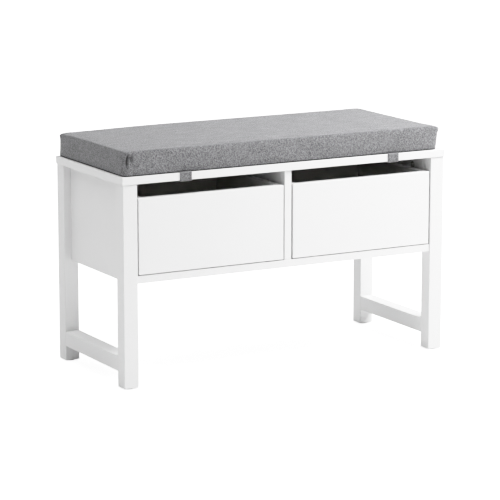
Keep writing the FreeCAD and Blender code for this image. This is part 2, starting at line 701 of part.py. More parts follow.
def screw_profile(play):
    """The countersunk screw's profile, or with some play its hole's, from the head's face."""
    head, shank = (f"(drawer_screw_{part} / 2 + {play})" for part in ("head", "diameter"))
    length = f"(drawer_screw_length + {play})"
    return [
        ("0", "0"), (head, "0"), (shank, "drawer_screw_head_height"),
        (shank, f"{length} - drawer_screw_diameter"), ("0", length),
    ]


def drawer_side(name, middle, hand, sign, inward):
    """A drawer side, grooved for the floor and drilled for its fittings."""
    place = (f"{middle} + {sign}{DRAWER_SIDE_X}", DRAWER_SIDE_Y, DRAWER_BOTTOM)
    body = block(f"{name}_{hand}_side", ("drawer_wall", DRAWER_SIDE_LENGTH, DRAWER_HEIGHT), place)
    dowel_spots = [("0", f"{level} - {DRAWER_BOTTOM}") for level in DRAWER_DOWEL_HEIGHTS]
    drill(body, "-Y", dowel_spots, THIN_DOWEL_HOLE, EDGE_DOWEL_DEPTH)
    cam_level = f"drawer_cam_place - {DRAWER_BOTTOM}"
    drill(body, "-Y", [("0", cam_level)], "bolt_hole_diameter", "cam_distance")
    cam_spot = (f"cam_distance - {DRAWER_SIDE_LENGTH} / 2", cam_level)
    drill(body, inward, [cam_spot], SMALL_CAM_HOLE, SMALL_CAM_DEPTH)
    groove_centre = ("0", DRAWER_GROOVE_Z)
    groove(body, inward, DRAWER_SIDE_LENGTH, DRAWER_GROOVE_WIDTH, groove_centre, "drawer_groove_depth")
    pad_reach = f"({DRAWER_SIDE_LENGTH} / 2 - drawer_pad_end_distance)"
    pad_spots = [("0", along) for along in both_signs(pad_reach)]
    drill(body, "-Z", pad_spots, "drawer_pad_pin_diameter + hole_play", "drawer_pad_pin_length + end_play")
    screw_y = f"{DRAWER_BACK_MIDDLE_Y} - {DRAWER_SIDE_Y}"
    for level in DRAWER_SCREW_HEIGHTS:
        start = (f"{sign}drawer_wall / 2", screw_y, f"{level} - {DRAWER_BOTTOM}")
        turned(body, inward, start, screw_profile("hole_play / 2"), "PartDesign::Groove")


def drawer_back(name, middle):
    """The drawer's back, between its sides."""
    place = (middle, DRAWER_BACK_MIDDLE_Y, DRAWER_BOTTOM)
    body = block(f"{name}_back", (f"(2 * {DRAWER_INNER_X})", "drawer_wall", DRAWER_HEIGHT), place)
    spots = [("0", f"{level} - {DRAWER_BOTTOM}") for level in DRAWER_SCREW_HEIGHTS]
    screw_depth = "drawer_screw_length - drawer_wall + end_play"
    for face in ("-X", "+X"):
        drill(body, face, spots, "drawer_screw_diameter + hole_play", screw_depth)
    groove_length = f"(2 * {DRAWER_INNER_X})"
    groove(body, "-Y", groove_length, DRAWER_GROOVE_WIDTH, ("0", DRAWER_GROOVE_Z), "drawer_groove_depth")


def drawer_floor(name, middle):
    """The thin floor in the grooves of the four walls."""
    reach = "(drawer_groove_depth - end_play)"
    front_y = f"({DRAWER_JOINT_Y} - {reach})"
    back_y = f"({DRAWER_BACK_Y} - drawer_wall + {reach})"
    size = (f"(2 * {DRAWER_INNER_X} + 2 * {reach})", f"({back_y} - {front_y})", "drawer_floor_thickness")
    block(f"{name}_floor", size, (middle, f"({back_y} + {front_y}) / 2", DRAWER_FLOOR_Z))


def drawer_pads(name, shift):
    """Low-friction pads, pinned under the sides, that slide on the shelf."""
    radius, pin = "drawer_pad_diameter / 2", "drawer_pad_pin_diameter / 2"
    pin_end = "drawer_pad_height + drawer_pad_pin_length"
    profile = [
        ("0", "0"), (f"{radius} - glide_round", "0"), (radius, "glide_round"),
        (radius, "drawer_pad_height"), (pin, "drawer_pad_height"), (pin, f"{pin_end} - {pin}"),
        ("0", pin_end),
    ]
    start = (DRAWER_SIDE_X, f"{DRAWER_JOINT_Y} + drawer_pad_end_distance", "shelf_top + sliding_play")
    body = new_body(f"{name}_pads", shift)
    row = f"({DRAWER_SIDE_LENGTH} - 2 * drawer_pad_end_distance)"
    repeat(body, [turned(body, "+Z", start, profile)], ("YZ_Plane",), ("Y", row, 2))


def drawer_fittings(name, shift):
    """The dowels and cams of the front corners, and the screws of the back ones."""
    mirror = ("YZ_Plane",)
    dowel_start = (DRAWER_SIDE_X, f"{DRAWER_JOINT_Y} - dowel_in_board", "drawer_dowel_low")
    dowels(f"{name}_dowels", "+Y", dowel_start, "thin_dowel_diameter", mirror,
           ("Z", "drawer_dowel_step", 2), shift)
    bolt_start = (DRAWER_SIDE_X, DRAWER_JOINT_Y, "drawer_cam_place")
    cam_bolts(f"{name}_cam_bolts", "+Y", bolt_start, mirror, shift)
    cam_y = f"{DRAWER_JOINT_Y} + cam_distance"
    cam_nuts(f"{name}_cam_nuts", "-X", (DRAWER_INNER_X, cam_y, "drawer_cam_place"), "-Y",
             (DRAWER_SIDE_X, f"{cam_y} - small_cam_diameter / 2", "drawer_cam_place"),
             "small_", mirror, shift)
    screw_start = (DRAWER_OUTER_X, DRAWER_BACK_MIDDLE_Y, "drawer_screw_low")
    body = new_body(f"{name}_screws", shift)
    screw = turned(body, "-X", screw_start, screw_profile("0"))
    cross = recess(body, "+X", screw_start, "cross_depth",
                   lambda sketch: add_cross(sketch, "cross_length", "cross_width"))
    repeat(body, [screw, cross], mirror, ("Z", "drawer_screw_step", 2))


for side, sign_x, _ in SIDES:
    name = f"{side}_drawer"
    middle = f"{sign_x}{BAY_X}"
    drawer_front(name, middle)
    for hand, sign, inward in SIDES:
        drawer_side(name, middle, hand, sign, inward)
    drawer_back(name, middle)
    drawer_floor(name, middle)
    drawer_pads(name, (middle, "0", "0"))
    drawer_fittings(name, (middle, "0", "0"))


# ---- cushion and straps ----------------------------------------------------------------------

CLOTH_REACH = "(cloth_thickness + foam_play)"


def upright(edge):
    """Whether an edge runs straight up."""
    ends = [vertex.Point for vertex in edge.Vertexes]
    return abs(ends[0].z - ends[1].z) > 1


def cushion_block(label, inset, low, high, corner):
    """A cushion-shaped block, inset from the cushion's outline, with rounded corners."""
    body = new_body(label, ("cushion_shift_x", "0", f"seat_board_top + {low}"))
    sketch = new_sketch(body, "XY_Plane")
    add_rectangle(sketch, f"(cushion_length - 2 * {inset})", f"(cushion_depth - 2 * {inset})")
    pad = body.newObject("PartDesign::Pad", f"{label}_pad")
    pad.Profile = sketch
    bind(pad, Length=f"{high} - {low}")
    return body, fillet(body, pad, upright, corner)


def round_top(body, feature, radius):
    """Round the edges of a feature's upper face."""
    doc.recompute()
    top = feature.Shape.BoundBox.ZMax
    return fillet(body, feature, lambda edge: edge.BoundBox.ZMin > top - 0.01, radius)


def cushion():
    """The foam block, the cover drawn over it, and the cloth that closes the cover below."""
    cover, shell = cushion_block("cushion_cover", "0", "0", "cushion_height", "cushion_corner")
    shell = round_top(cover, shell, "cushion_edge")
    doc.recompute()
    faces = enumerate(shell.Shape.Faces, start=1)
    open_face = next(f"Face{number}" for number, face in faces if face.BoundBox.ZMax < 0.01)
    hollow = cover.newObject("PartDesign::Thickness", "cushion_cover_hollow")
    hollow.Base = (shell, [open_face])
    hollow.Reversed = True
    bind(hollow, Value="cloth_thickness")
    corner = f"cushion_corner - {CLOTH_REACH}"
    foam, shape = cushion_block("cushion_foam", CLOTH_REACH, CLOTH_REACH,
                                f"cushion_height - {CLOTH_REACH}", corner)
    round_top(foam, shape, f"cushion_edge - {CLOTH_REACH}")
    cushion_block("cushion_bottom_cloth", CLOTH_REACH, "0", "cloth_thickness", corner)


def strap(end, side, along, tail):
    """A flat strap from the cushion's lower edge, round the board's edge and back under it."""
    sign = "-" if end == "front" else ""
    outer = f"{sign}(bench_depth / 2 + strap_thickness)"
    edge = f"{sign}bench_depth / 2"
    tail_end = f"{sign}(bench_depth / 2 - {tail})"
    hem = f"{sign}cushion_depth / 2"
    inner_z = f"({BOARD_UNDERSIDE} - patch_thickness)"
    outer_z = f"({inner_z} - strap_thickness)"
    upper_z = "(seat_board_top + strap_thickness)"
    body = new_body(f"{end}_{side}_strap", (along, "0", "0"))
    sketch = new_sketch(body, "YZ_Plane")
    add_outline(sketch, [
        (outer, outer_z), (outer, upper_z), (hem, upper_z), (hem, "seat_board_top"),
        (edge, "seat_board_top"), (edge, inner_z), (tail_end, inner_z), (tail_end, outer_z),
    ])
    pad = body.newObject("PartDesign::Pad", f"{body.Name}_pad")
    pad.Profile = sketch
    pad.Midplane = True
    bind(pad, Length="strap_width")
    reach = sheet.bench_depth / 2 + sheet.strap_thickness
    fillet(body, pad, lambda line: abs(abs(line.CenterOfMass.y) - reach) < 0.01 and
           abs(line.CenterOfMass.x) < 0.01, "strap_round")


def strap_patches():
    """Hook-and-loop patches, stuck under the board where the straps' tails lie."""
    body = new_body("strap_patches", ("0", "0", BOARD_UNDERSIDE))
    sketch = new_sketch(body, "XY_Plane")
    for along in ("left_strap_place", "right_strap_place"):
        for sign, end in (("-", "front"), ("", "rear")):
            length = f"{end}_patch_length"
            centre = f"{sign}(bench_depth / 2 - {end}_strap_tail + {length} / 2)"
            add_rectangle(sketch, "strap_width", length, (along, centre))
    pad = body.newObject("PartDesign::Pad", "strap_patches_pad")
    pad.Profile = sketch
    pad.Reversed = True
    bind(pad, Length="patch_thickness")


cushion()
for side in ("left", "right"):
    for end in ("front", "rear"):
        strap(end, side, f"{side}_strap_place", f"{end}_strap_tail")
strap_patches()


# ---- check and write -------------------------------------------------------------------------

doc.recompute()
for item in doc.Objects:
    if {"Invalid", "Error"} & set(item.State):
        raise RuntimeError(f"{item.Name} failed: {item.State}")
    if item.TypeId in ("PartDesign::Pocket", "PartDesign::Groove"):
        if item.Shape.Volume > item.BaseFeature.Shape.Volume - 0.01:
            raise RuntimeError(f"{item.Name} cuts nothing")

bodies = [item for item in doc.Objects if item.TypeId == "PartDesign::Body"]
for body in bodies:
    if body.Shape.isNull() or not body.Shape.isValid():
        raise RuntimeError(f"{body.Label} has no valid shape")

os.makedirs("parts", exist_ok=True)
for body in bodies:
    body.Shape.exportStep(f"parts/{body.Label}.step")
    print(body.Label, len(body.Shape.Solids), round(body.Shape.Volume), "mm3")
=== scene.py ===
import math

import bpy
import numpy as np
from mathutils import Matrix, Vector, noise


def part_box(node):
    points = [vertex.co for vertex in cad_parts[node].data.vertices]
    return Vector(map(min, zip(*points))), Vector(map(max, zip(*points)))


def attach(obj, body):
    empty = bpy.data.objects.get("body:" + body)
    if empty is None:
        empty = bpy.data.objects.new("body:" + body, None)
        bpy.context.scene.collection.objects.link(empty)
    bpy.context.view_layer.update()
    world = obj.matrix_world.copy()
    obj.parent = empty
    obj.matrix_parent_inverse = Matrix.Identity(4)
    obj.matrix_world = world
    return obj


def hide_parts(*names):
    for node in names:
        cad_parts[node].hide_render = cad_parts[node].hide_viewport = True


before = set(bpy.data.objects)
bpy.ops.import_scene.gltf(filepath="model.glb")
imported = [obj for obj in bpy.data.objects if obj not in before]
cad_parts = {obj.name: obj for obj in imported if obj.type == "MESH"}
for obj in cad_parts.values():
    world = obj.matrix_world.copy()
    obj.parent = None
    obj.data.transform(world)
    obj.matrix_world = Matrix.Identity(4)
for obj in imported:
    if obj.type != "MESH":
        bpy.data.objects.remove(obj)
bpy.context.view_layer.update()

MM = 0.001

# ---------------------------------------------------------------- camera, stage and light

AZIMUTH = math.radians(-28.84)
ELEVATION = math.radians(11.26)
DISTANCE = 5.084
LENS = 182.3
AIM = Vector((-0.0042, 0.0, 0.2140))
SKY_STARTS, SKY_FULL = 0.50, 0.85
BACKDROP = 2.0
FLOOR_REACH = 40.0
FLOOR_GLOW = 1.2
BRIGHTEST = 1.8
TONES = (
    (0.02, 0.02), (0.06, 0.062), (0.165, 0.167), (0.36, 0.36), (0.68, 0.64), (1.04, 0.84), (1.45, 0.95),
)


def add_camera():
    """A long lens at the viewing angle, with no shift and no depth of field."""
    level = math.cos(ELEVATION)
    back = Vector((math.sin(AZIMUTH) * level, -math.cos(AZIMUTH) * level, math.sin(ELEVATION)))
    data = bpy.data.cameras.new("camera")
    data.sensor_width = 36
    data.lens = LENS
    data.clip_end = 200
    camera = bpy.data.objects.new("camera", data)
    camera.location = AIM + back * DISTANCE
    camera.rotation_mode = "QUATERNION"
    camera.rotation_quaternion = (-back).to_track_quat("-Z", "Y")
    bpy.context.collection.objects.link(camera)
    bpy.context.scene.camera = camera


def add_area_light(name, place, size, power):
    """A square softbox that faces the middle of the object."""
    data = bpy.data.lights.new(name, "AREA")
    data.shape = "SQUARE"
    data.size = size
    data.energy = power
    light = bpy.data.objects.new(name, data)
    light.location = place
    light.rotation_mode = "QUATERNION"
    light.rotation_quaternion = (AIM - light.location).to_track_quat("-Z", "Y")
    light.visible_camera = False
    bpy.context.collection.objects.link(light)


def add_sky(zenith, horizon):
    """Soft light from all round, stronger from above; what the camera sees of it is plain white."""
    world = bpy.data.worlds.new("studio")
    world.use_nodes = True
    tree = world.node_tree
    tree.nodes.clear()
    place = tree.nodes.new("ShaderNodeTexCoord")
    split = tree.nodes.new("ShaderNodeSeparateXYZ")
    rise = tree.nodes.new("ShaderNodeMapRange")
    rise.inputs["From Min"].default_value = SKY_STARTS
    rise.inputs["From Max"].default_value = SKY_FULL
    rise.inputs["To Min"].default_value = horizon
    rise.inputs["To Max"].default_value = zenith
    sky = tree.nodes.new("ShaderNodeBackground")
    backdrop = tree.nodes.new("ShaderNodeBackground")
    backdrop.inputs["Strength"].default_value = BACKDROP
    rays = tree.nodes.new("ShaderNodeLightPath")
    choose = tree.nodes.new("ShaderNodeMixShader")
    output = tree.nodes.new("ShaderNodeOutputWorld")
    for node in (sky, backdrop):
        node.inputs["Color"].default_value = (1, 1, 1, 1)
    tree.links.new(place.outputs["Generated"], split.inputs[0])
    tree.links.new(split.outputs["Z"], rise.inputs["Value"])
    tree.links.new(rise.outputs[0], sky.inputs["Strength"])
    tree.links.new(rays.outputs["Is Camera Ray"], choose.inputs[0])
    tree.links.new(sky.outputs[0], choose.inputs[1])
    tree.links.new(backdrop.outputs[0], choose.inputs[2])
    tree.links.new(choose.outputs[0], output.inputs["Surface"])
    bpy.context.scene.world = world


def add_floor():
    """A plain white floor that glows for the camera, so that it has no edge and no horizon."""
    mesh = bpy.data.meshes.new("studio_floor")
    corners = [(x * FLOOR_REACH, y * FLOOR_REACH, 0) for x, y in ((-1, -1), (1, -1), (1, 1), (-1, 1))]
    mesh.from_pydata(corners, [], [(0, 1, 2, 3)])
    floor = bpy.data.objects.new("studio_floor", mesh)
    bpy.context.collection.objects.link(floor)
    paper = Surface("floor_paper", {"Roughness": 0.9, "Specular IOR Level": 0.1})
    tone = paper.noise(scale=0.8, detail=2)
    paper.set("Base Color", paper.mix(tone, (0.77, 0.77, 0.77), (0.79, 0.79, 0.79)))
    paper.set("Emission Color", (1, 1, 1, 1))
    seen = paper.node("LightPath")["Is Camera Ray"]
    paper.set("Emission Strength", paper.maths("MULTIPLY", seen, FLOOR_GLOW))
    mesh.materials.append(paper.material)


def set_tones():
    """A print-like tone curve: plain up to the middle tones, and whites that roll off gently."""
    view = bpy.context.scene.view_settings
    view.view_transform = "Standard"
    view.use_curve_mapping = True
    mapping = view.curve_mapping
    mapping.white_level = (BRIGHTEST,) * 3
    curve = mapping.curves[3]
    for seen, shown in TONES:
        if 0 < seen < BRIGHTEST:
            curve.points.new(seen / BRIGHTEST, shown)
    mapping.update()


# ---------------------------------------------------------------- materials

class Surface:
    """One Principled material, built up node by node."""

    def __init__(self, name, sockets):
        self.material = bpy.data.materials.new(name)
        self.material.use_nodes = True
        self.tree = self.material.node_tree
        self.shader = self.tree.nodes["Principled BSDF"]
        for socket, value in sockets.items():
            self.shader.inputs[socket].default_value = value

    def feed(self, socket, value):
        if isinstance(value, bpy.types.NodeSocket):
            self.tree.links.new(value, socket)
        elif isinstance(value, tuple) and len(value) == 3 and socket.type == "RGBA":
            socket.default_value = (*value, 1)
        elif value is not None:
            socket.default_value = value

    def set(self, socket, value):
        self.feed(self.shader.inputs[socket], value)

    def node(self, kind, *values, **settings):
        """A node whose inputs take these values in order: a socket is linked, None is skipped."""
        node = self.tree.nodes.new("ShaderNode" + kind)
        for setting, value in settings.items():
            setattr(node, setting, value)
        for socket, value in zip(node.inputs, values):
            self.feed(socket, value)
        return node.outputs

    def places(self):
        return self.node("TexCoord")["Object"]

    def axes(self, vector):
        return self.node("SeparateXYZ", vector)

    def join(self, x, y, z):
        return self.node("CombineXYZ", x, y, z)[0]

    def maths(self, operation, *values):
        return self.node("Math", *values, operation=operation)[0]

    def stretch(self, vector, sizes):
        """The vector counted in steps of these sizes, in metres, along X, Y and Z."""
        return self.node("VectorMath", vector, tuple(1 / s for s in sizes), operation="MULTIPLY")[0]

    def noise(self, vector=None, scale=1.0, detail=2.0, roughness=0.5):
        vector = vector or self.places()
        return self.node("TexNoise", vector, None, scale, detail, roughness)[0]

    def spread(self, value, low, high, to_low=0.0, to_high=1.0):
        return self.node("MapRange", value, low, high, to_low, to_high)[0]

    def mix(self, share, first, second):
        node = self.tree.nodes.new("ShaderNodeMix")
        node.data_type = "RGBA"
        self.feed(node.inputs[0], share)
        self.feed(node.inputs[6], first)
        self.feed(node.inputs[7], second)
        return node.outputs[2]

    def blend(self, share, first, second):
        node = self.tree.nodes.new("ShaderNodeMix")
        self.feed(node.inputs[0], share)
        self.feed(node.inputs[2], first)
        self.feed(node.inputs[3], second)
        return node.outputs[0]

    def bump(self, height, distance, strength=1.0, normal=None):
        node = self.tree.nodes.new("ShaderNodeBump")
        node.inputs["Strength"].default_value = strength
        node.inputs["Distance"].default_value = distance
        self.feed(node.inputs["Height"], height)
        self.feed(node.inputs["Normal"], normal)
        return node.outputs[0]

    def rounded_edges(self, radius):
        """The normal of edges rounded by that radius, and how far it turns from the real one."""
        soft = self.node("Bevel", radius, samples=4)[0]
        true = self.node("NewGeometry")["True Normal"]
        alike = self.node("VectorMath", soft, true, operation="DOT_PRODUCT")["Value"]
        return soft, self.spread(alike, 1.0, 0.8)


def lacquered_board():
    """White foil-wrapped fibreboard: a faint pearl in the surface and slightly duller edges."""
    sheen = {"Specular IOR Level": 0.45, "Coat Weight": 0.08, "Coat Roughness": 0.25}
    board = Surface("lacquered_board", sheen)
    soft, edge = board.rounded_edges(0.8 * MM)
    cloud = board.noise(scale=7.0, detail=3)
    tone = board.mix(cloud, (0.745, 0.745, 0.745), (0.765, 0.765, 0.765))
    board.set("Base Color", board.mix(board.maths("MULTIPLY", edge, 0.35), tone, (0.70, 0.70, 0.695)))
    pearl = board.noise(scale=1400.0, detail=2)
    board.set("Roughness", board.spread(board.noise(scale=60.0, detail=3), 0.3, 0.7, 0.36, 0.46))
    board.set("Normal", board.bump(pearl, 0.02 * MM, 0.5, soft))
    return board.material


def painted_timber():
    """White paint over timber: grain telegraphs faintly along the length of each bar."""
    sheen = {"Specular IOR Level": 0.45, "Coat Weight": 0.06, "Coat Roughness": 0.3}
    timber = Surface("painted_timber", sheen)
    soft, edge = timber.rounded_edges(1.0 * MM)
    grain = timber.noise(timber.stretch(timber.places(), (1.6 * MM, 1.6 * MM, 60 * MM)), detail=3)
    tone = timber.mix(grain, (0.735, 0.735, 0.735), (0.76, 0.76, 0.76))
    timber.set("Base Color", timber.mix(timber.maths("MULTIPLY", edge, 0.35), tone, (0.69, 0.69, 0.685)))
    timber.set("Roughness", timber.spread(grain, 0.3, 0.7, 0.40, 0.50))
    timber.set("Normal", timber.bump(grain, 0.05 * MM, 0.5, soft))
    return timber.material


def fibre_board():
    """Hardboard: pressed brown fibre, white-faced on the side that shows from behind."""
    board = Surface("fibre_board", {"Roughness": 0.6, "Specular IOR Level": 0.3})
    fibres = board.noise(scale=500.0, detail=5, roughness=0.7)
    brown = board.mix(fibres, (0.16, 0.10, 0.06), (0.26, 0.17, 0.10))
    behind = board.spread(board.axes(board.node("TexCoord")["Normal"])["Y"], 0.4, 0.6)
    board.set("Base Color", board.mix(behind, brown, (0.72, 0.72, 0.71)))
    board.set("Normal", board.bump(fibres, 0.15 * MM, 0.6))
    return board.material


def beech():
    """Turned dowel wood with straight grain."""
    wood = Surface("beech", {"Roughness": 0.55})
    grain = wood.noise(wood.stretch(wood.places(), (2 * MM, 2 * MM, 14 * MM)), detail=4)
    wood.set("Base Color", wood.mix(grain, (0.50, 0.33, 0.18), (0.66, 0.47, 0.28)))
    wood.set("Normal", wood.bump(grain, 0.1 * MM, 0.5))
    return wood.material


def metal(name, colour, roughness):
    """Plated or bare metal with fine tool marks."""
    plate = Surface(name, {"Metallic": 1.0})
    marks = plate.noise(scale=900.0, detail=3)
    dark = tuple(0.75 * c for c in colour)
    plate.set("Base Color", plate.mix(marks, dark, colour))
    plate.set("Roughness", plate.spread(marks, 0.3, 0.7, roughness - 0.06, roughness + 0.08))
    plate.set("Normal", plate.bump(marks, 0.03 * MM, 0.4))
    return plate.material


def moulded_plastic(name, colour):
    """Moulded plastic with a fine spark-eroded texture."""
    plastic = Surface(name, {"Specular IOR Level": 0.5})
    texture = plastic.noise(scale=1500.0, detail=3)
    dull = tuple(0.9 * c for c in colour)
    plastic.set("Base Color", plastic.mix(plastic.noise(scale=40.0), dull, colour))
    plastic.set("Roughness", plastic.spread(texture, 0.3, 0.7, 0.38, 0.5))
    plastic.set("Normal", plastic.bump(texture, 0.04 * MM, 0.5))
    return plastic.material


CLOTH_LIGHT = (0.275, 0.275, 0.283)
CLOTH_DARK = (0.078, 0.078, 0.081)
# The near-black colour of the painted shade in the hollows between the threads.
CLOTH_HOLLOW_SHADE = (0.03, 0.03, 0.032)
# Counted in threads: the length of the slubs along the cloth and across it, and the size of its bars.
SLUB_ALONG, SLUB_ACROSS = 3.0, 8.0
BAR_LONG, BAR_WIDE = 30.0, 6.0


def cloth_plane(cloth):
    """Coordinates across and along the cloth whichever way its face turns, where it lies level, and
    how much its thick yarns run across rather than along."""
    x, y, z = cloth.axes(cloth.places())
    facing = cloth.axes(cloth.node("TexCoord")["Normal"])
    side, front, top = (cloth.maths("ABSOLUTE", facing[k]) for k in range(3))
    sideways = cloth.maths("GREATER_THAN", side, front)
    upward = cloth.maths("GREATER_THAN", top, 0.72)
    across = cloth.blend(upward, cloth.blend(sideways, x, y), x)
    along = cloth.blend(upward, z, y)
    lengthways = cloth.blend(upward, cloth.blend(sideways, 0.12, 0.35), 0.8)
    return across, along, upward, lengthways


def woven_cloth(name, thread):
    """Plain-woven melange cloth: threads over and under, slubs along the yarns, flecks, faint bars, and
    painted shade darkening the hollows between the threads.
    """
    dull = {"Roughness": 0.9, "Specular IOR Level": 0.2, "Sheen Weight": 0.22, "Sheen Roughness": 0.5}
    cloth = Surface(name, dull)
    across, along, level, lengthways = cloth_plane(cloth)
    warp = cloth.maths("DIVIDE", across, thread)
    weft = cloth.maths("DIVIDE", along, thread)
    warp_round = cloth.maths("ABSOLUTE", cloth.maths("SINE", cloth.maths("MULTIPLY", warp, math.pi)))
    weft_round = cloth.maths("ABSOLUTE", cloth.maths("SINE", cloth.maths("MULTIPLY", weft, math.pi)))
    crossing = cloth.maths("ADD", cloth.maths("FLOOR", warp), cloth.maths("FLOOR", weft))
    over = cloth.maths("PINGPONG", crossing, 1.0)
    weave = cloth.blend(over, warp_round, weft_round)
    slub_up = cloth.noise(cloth.join(warp, cloth.maths("DIVIDE", weft, SLUB_ALONG), 0.0), 0.9, 2)
    slub_across = cloth.noise(cloth.join(cloth.maths("DIVIDE", warp, SLUB_ACROSS), weft, 7.0), 0.9, 2)
    yarn = cloth.blend(lengthways, slub_up, slub_across)
    bar_places = cloth.maths("DIVIDE", warp, BAR_LONG), cloth.maths("DIVIDE", weft, BAR_WIDE), 3.0
    bars = cloth.noise(cloth.join(*bar_places))
    yarn = cloth.blend(cloth.maths("MULTIPLY", level, 0.42), yarn, bars)
    each = cloth.join(cloth.maths("FLOOR", warp), cloth.maths("FLOOR", weft), 0.0)
    fleck = cloth.node("TexWhiteNoise", each, noise_dimensions="3D")["Value"]
    fleck = cloth.blend(cloth.maths("MULTIPLY", level, 0.5), fleck, 0.5)
    tone = cloth.maths("ADD", cloth.maths("MULTIPLY", yarn, 0.62), cloth.maths("MULTIPLY", fleck, 0.38))
    shade = cloth.spread(tone, 0.27, 0.73)
    colour = cloth.mix(shade, CLOTH_DARK, CLOTH_LIGHT)
    # Painted shade: where the threads dip between each other, the colour darkens towards near-black.
    hollow_shade = cloth.spread(weave, 0.0, 0.7, 0.72, 1.0)
    cloth.set("Base Color", cloth.mix(hollow_shade, CLOTH_HOLLOW_SHADE, colour))
    relief = cloth.maths("ADD", weave, cloth.maths("MULTIPLY", tone, 0.8))
    cloth.set("Normal", cloth.bump(relief, 0.35 * MM, 0.7))
    return cloth.material


def plain_soft(name, light, dark, size):
    """Felted or foamed stuff: one colour broken up by its own texture."""
    stuff = Surface(name, {"Roughness": 0.95, "Specular IOR Level": 0.15})
    texture = stuff.noise(scale=1 / size, detail=4, roughness=0.65)
    stuff.set("Base Color", stuff.mix(texture, dark, light))
    stuff.set("Normal", stuff.bump(texture, 0.4 * size, 0.7))
    return stuff.material


finishes = {
    "white_board": lacquered_board(),
    "white_timber": painted_timber(),
    "hardboard": fibre_board(),
    "beech": beech(),
    "zinc": metal("zinc", (0.62, 0.62, 0.60), 0.38),
    "steel": metal("steel", (0.56, 0.56, 0.57), 0.32),
    "white_plastic": moulded_plastic("white_plastic", (0.72, 0.72, 0.71)),
    "grey_plastic": moulded_plastic("grey_plastic", (0.22, 0.22, 0.22)),
    "cushion_fabric": woven_cloth("cushion_fabric", 1.5 * MM),
    "strap_fabric": woven_cloth("strap_fabric", 1.3 * MM),
    "foam": plain_soft("foam", (0.72, 0.70, 0.62), (0.55, 0.53, 0.46), 1.2 * MM),
    # Near-black grip cloth: partly its own colour, partly painted shadow where its edge shows round the
    # cushion's foot.
    "lining": plain_soft("lining", (0.05, 0.05, 0.052), (0.03, 0.03, 0.032), 0.8 * MM),
    "hook_tape": plain_soft("hook_tape", (0.06, 0.06, 0.06), (0.02, 0.02, 0.02), 0.9 * MM),
}


def finish_cad_nodes():
    """Gives every node of the frame the full version of the finish that its slot names."""
    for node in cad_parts.values():
        node.data.materials[0] = finishes[node.data.materials[0].name.split(".")[0]]


# ---------------------------------------------------------------- meshes

def add_mesh(name, points, faces, material):
    """A smooth-shaded mesh object with one material."""
    mesh = bpy.data.meshes.new(name)
    mesh.from_pydata([tuple(p) for p in points], [], faces)
    mesh.materials.append(material)
    mesh.polygons.foreach_set("use_smooth", [True] * len(mesh.polygons))
    mesh.update()
    piece = bpy.data.objects.new(name, mesh)
    bpy.context.collection.objects.link(piece)
    return piece


def points_of(mesh):
    """The mesh's points as rows of x, y and z."""
    flat = np.empty(len(mesh.vertices) * 3)
    mesh.vertices.foreach_get("co", flat)
    return flat.reshape(-1, 3)


def graded(length, fine, coarse, band):
    """Places along a centred line, closer together within that band of its two ends."""
    half = length / 2
    reach, steps = 0.0, [0.0]
    while reach < half:
        share = min(reach / band, 1.0)
        reach += fine + (coarse - fine) * share * share * (3 - 2 * share)
        steps.append(reach)
    places = np.array(steps) * half / reach
    return np.concatenate([places - half, (half - places[:-1])[::-1]])


def outline_side(places, half_along, half_across, corner):
    """One side of a rounded rectangle, from corner middle to corner middle: its points and normals."""
    straight = half_along - corner
    turn = np.clip((np.abs(places) - straight) / corner, 0.0, math.pi / 4)
    way = np.sign(places)
    along = way * (np.minimum(np.abs(places), straight) + corner * np.sin(turn))
    across = -(half_across - corner + corner * np.cos(turn))
    return np.stack([along, across], 1), np.stack([way * np.sin(turn), -np.cos(turn)], 1)


